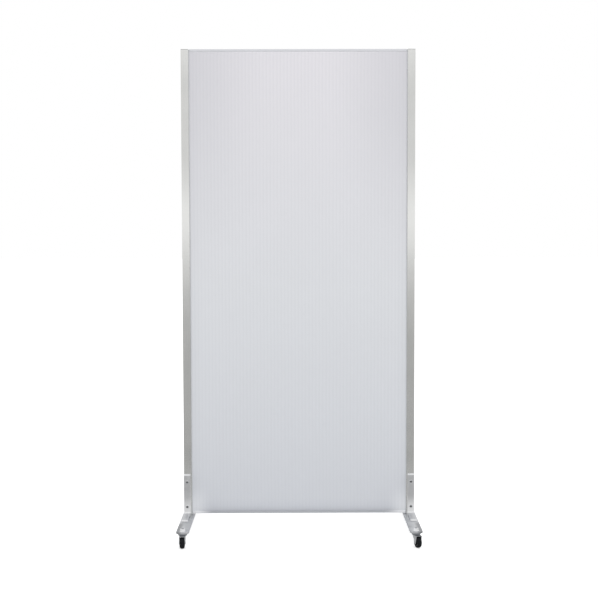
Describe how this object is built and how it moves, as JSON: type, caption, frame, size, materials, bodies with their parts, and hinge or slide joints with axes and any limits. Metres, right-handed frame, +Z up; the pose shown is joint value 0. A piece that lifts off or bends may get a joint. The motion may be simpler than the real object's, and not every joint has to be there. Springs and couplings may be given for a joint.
{
  "type": "rolling partition",
  "caption": "Tall rolling partition: a fluted translucent sheet between aluminium posts on flat-bar feet with angle brackets and swivel casters.",
  "frame": {"origin": "on the floor under the middle of the sheet, at the middle of the two feet", "axes": "+X to the right along the sheet, +Y from the front face to the rear, +Z up; the feet run along Y"},
  "size_m": [1.062, 0.7, 2.174],
  "materials": {
    "sheet": "opal multiwall polycarbonate with upright flutes, satin",
    "edge_profile": "clear grey plastic channel",
    "post": "natural anodised extrusion, fine upright grain",
    "post_cap": "moulded grey end cap",
    "gasket": "grey glazing strip",
    "foot": "brushed flat bar",
    "bracket": "brushed bent bar with polished bevels",
    "fastener": "zinc-plated steel",
    "caster_metal": "zinc-plated pressed steel",
    "wheel_core": "black moulded core",
    "tyre": "black rubber tread"
  },
  "bodies": {
    "frame": {"sheet": "sheet", "edge_profile_top": "edge_profile", "edge_profile_bottom": "edge_profile", "post_left": "post", "post_cap_left": "post_cap", "foot_left": "foot", "through_bolt_left_1": "fastener", "through_nut_left_1": "fastener", "through_bolt_left_2": "fastener", "through_nut_left_2": "fastener", "gasket_front_left": "gasket", "bracket_front_left": "bracket", "foot_screw_front_left": "fastener", "caster_stem_front_left": "caster_metal", "stem_nut_front_left": "fastener", "gasket_rear_left": "gasket", "bracket_rear_left": "bracket", "foot_screw_rear_left": "fastener", "caster_stem_rear_left": "caster_metal", "stem_nut_rear_left": "fastener", "post_right": "post", "post_cap_right": "post_cap", "foot_right": "foot", "through_bolt_right_1": "fastener", "through_nut_right_1": "fastener", "through_bolt_right_2": "fastener", "through_nut_right_2": "fastener", "gasket_front_right": "gasket", "bracket_front_right": "bracket", "foot_screw_front_right": "fastener", "caster_stem_front_right": "caster_metal", "stem_nut_front_right": "fastener", "gasket_rear_right": "gasket", "bracket_rear_right": "bracket", "foot_screw_rear_right": "fastener", "caster_stem_rear_right": "caster_metal", "stem_nut_rear_right": "fastener"},
    "swivel_front_left": {"ball_ring_front_left": "caster_metal", "fork_front_left": "caster_metal", "axle_front_left": "caster_metal"},
    "wheel_front_left": {"wheel_core_front_left": "wheel_core", "tyre_front_left": "tyre"},
    "swivel_rear_left": {"ball_ring_rear_left": "caster_metal", "fork_rear_left": "caster_metal", "axle_rear_left": "caster_metal"},
    "wheel_rear_left": {"wheel_core_rear_left": "wheel_core", "tyre_rear_left": "tyre"},
    "swivel_front_right": {"ball_ring_front_right": "caster_metal", "fork_front_right": "caster_metal", "axle_front_right": "caster_metal"},
    "wheel_front_right": {"wheel_core_front_right": "wheel_core", "tyre_front_right": "tyre"},
    "swivel_rear_right": {"ball_ring_rear_right": "caster_metal", "fork_rear_right": "caster_metal", "axle_rear_right": "caster_metal"},
    "wheel_rear_right": {"wheel_core_rear_right": "wheel_core", "tyre_rear_right": "tyre"}
  },
  "joints": [
    {"name": "swivel_turn_front_left", "type": "hinge", "parent": "frame", "child": "swivel_front_left", "pos_m": [-0.5035, -0.305, 0.056], "axis": [0, 0, 1], "continuous": true},
    {"name": "wheel_spin_front_left", "type": "hinge", "parent": "swivel_front_left", "child": "wheel_front_left", "pos_m": [-0.5035, -0.325, 0.025], "axis": [1, 0, 0], "continuous": true},
    {"name": "swivel_turn_rear_left", "type": "hinge", "parent": "frame", "child": "swivel_rear_left", "pos_m": [-0.5035, 0.305, 0.056], "axis": [0, 0, 1], "continuous": true},
    {"name": "wheel_spin_rear_left", "type": "hinge", "parent": "swivel_rear_left", "child": "wheel_rear_left", "pos_m": [-0.50901, 0.32422, 0.025], "axis": [-0.9613, -0.2756, 0], "continuous": true},
    {"name": "swivel_turn_front_right", "type": "hinge", "parent": "frame", "child": "swivel_front_right", "pos_m": [0.5035, -0.305, 0.056], "axis": [0, 0, 1], "continuous": true},
    {"name": "wheel_spin_front_right", "type": "hinge", "parent": "swivel_front_right", "child": "wheel_front_right", "pos_m": [0.50901, -0.32422, 0.025], "axis": [0.9613, 0.2756, 0], "continuous": true},
    {"name": "swivel_turn_rear_right", "type": "hinge", "parent": "frame", "child": "swivel_rear_right", "pos_m": [0.5035, 0.305, 0.056], "axis": [0, 0, 1], "continuous": true},
    {"name": "wheel_spin_rear_right", "type": "hinge", "parent": "swivel_rear_right", "child": "wheel_rear_right", "pos_m": [0.5035, 0.325, 0.025], "axis": [-1, 0, 0], "continuous": true}
  ]
}
